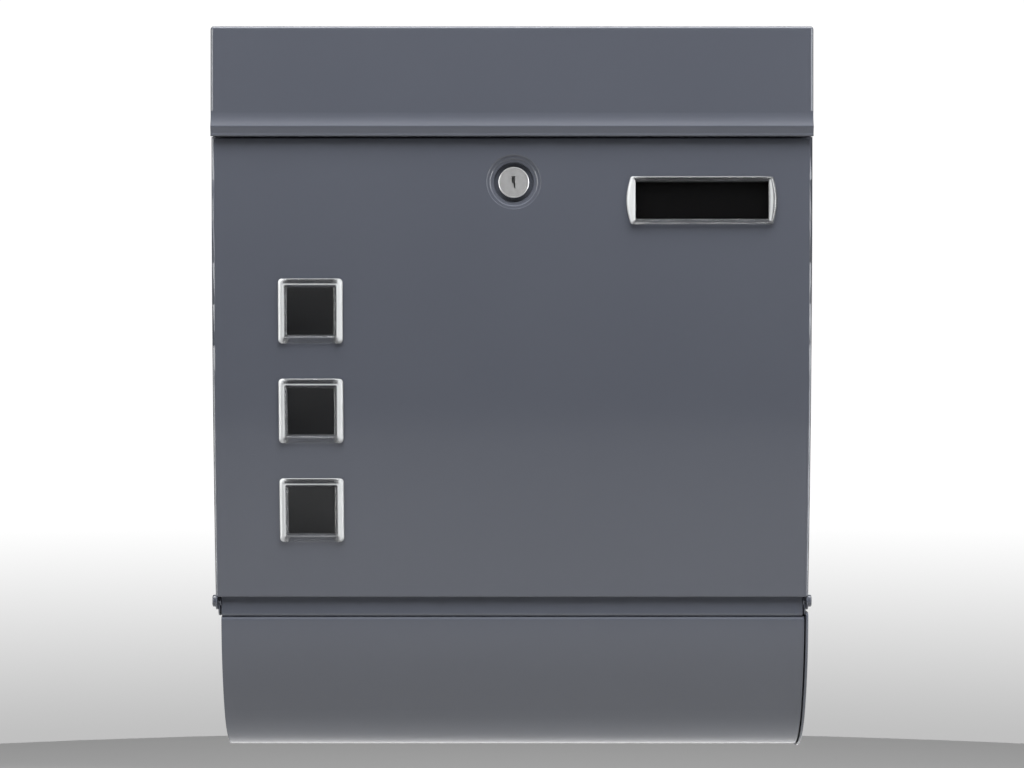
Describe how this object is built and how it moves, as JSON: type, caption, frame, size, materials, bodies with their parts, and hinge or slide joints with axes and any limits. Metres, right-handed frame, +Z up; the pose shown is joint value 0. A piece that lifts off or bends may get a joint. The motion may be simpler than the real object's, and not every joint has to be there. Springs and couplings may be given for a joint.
{
  "type": "wall mounted mailbox",
  "caption": "Flat sheet-steel wall mailbox with a hinged rain lid, a curved drop-down door with cam lock, small windows, a name plate and a rolled newspaper holder below.",
  "frame": {"origin": "centre of the four wall-screw holes, on the back face that lies on the wall", "axes": "+Z up, +Y into the wall, so the front faces -Y; +X to the right seen from the front"},
  "size_m": [0.374, 0.1073, 0.4589],
  "materials": {
    "powder_coat": "semi-gloss anthracite powder coat on steel sheet",
    "clear_plastic": "clear moulded plastic",
    "dark_plastic": "black moulded plastic",
    "black_card": "matt black card insert",
    "lock_metal": "nickel-plated zinc, satin",
    "bright_steel": "zinc-plated or stainless steel"
  },
  "bodies": {
    "box": {"body_shell": "powder_coat", "box_bottom": "powder_coat", "cross_rail": "powder_coat", "lid_hinge_pins": "bright_steel", "door_hinge_pins": "bright_steel", "holder_sheet": "powder_coat", "holder_end_cap": "powder_coat", "holder_screws": "bright_steel", "holder_nuts": "bright_steel"},
    "lid": {"lid_shell": "powder_coat"},
    "door": {"door_shell": "powder_coat", "name_cover": "clear_plastic", "name_card": "black_card", "name_tray": "dark_plastic", "lock_barrel": "lock_metal", "lock_washer": "bright_steel", "lock_nut": "bright_steel", "window_upper_pane": "clear_plastic", "window_upper_clip": "dark_plastic", "window_middle_pane": "clear_plastic", "window_middle_clip": "dark_plastic", "window_lower_pane": "clear_plastic", "window_lower_clip": "dark_plastic"},
    "lock": {"lock_plug": "lock_metal", "lock_cam": "bright_steel", "cam_screw": "bright_steel"}
  },
  "joints": [
    {"name": "lid_hinge", "type": "hinge", "parent": "box", "child": "lid", "pos_m": [0, -0.009, 0.181], "axis": [-1, 0, 0], "range_deg": [0, 80]},
    {"name": "door_hinge", "type": "hinge", "parent": "box", "child": "door", "pos_m": [0, -0.075, -0.173], "axis": [1, 0, 0], "range_deg": [0, 90]},
    {"name": "lock_turn", "type": "hinge", "parent": "door", "child": "lock", "pos_m": [0.0011, -0.09, 0.0864], "axis": [0, -1, 0], "range_deg": [0, 90]}
  ]
}
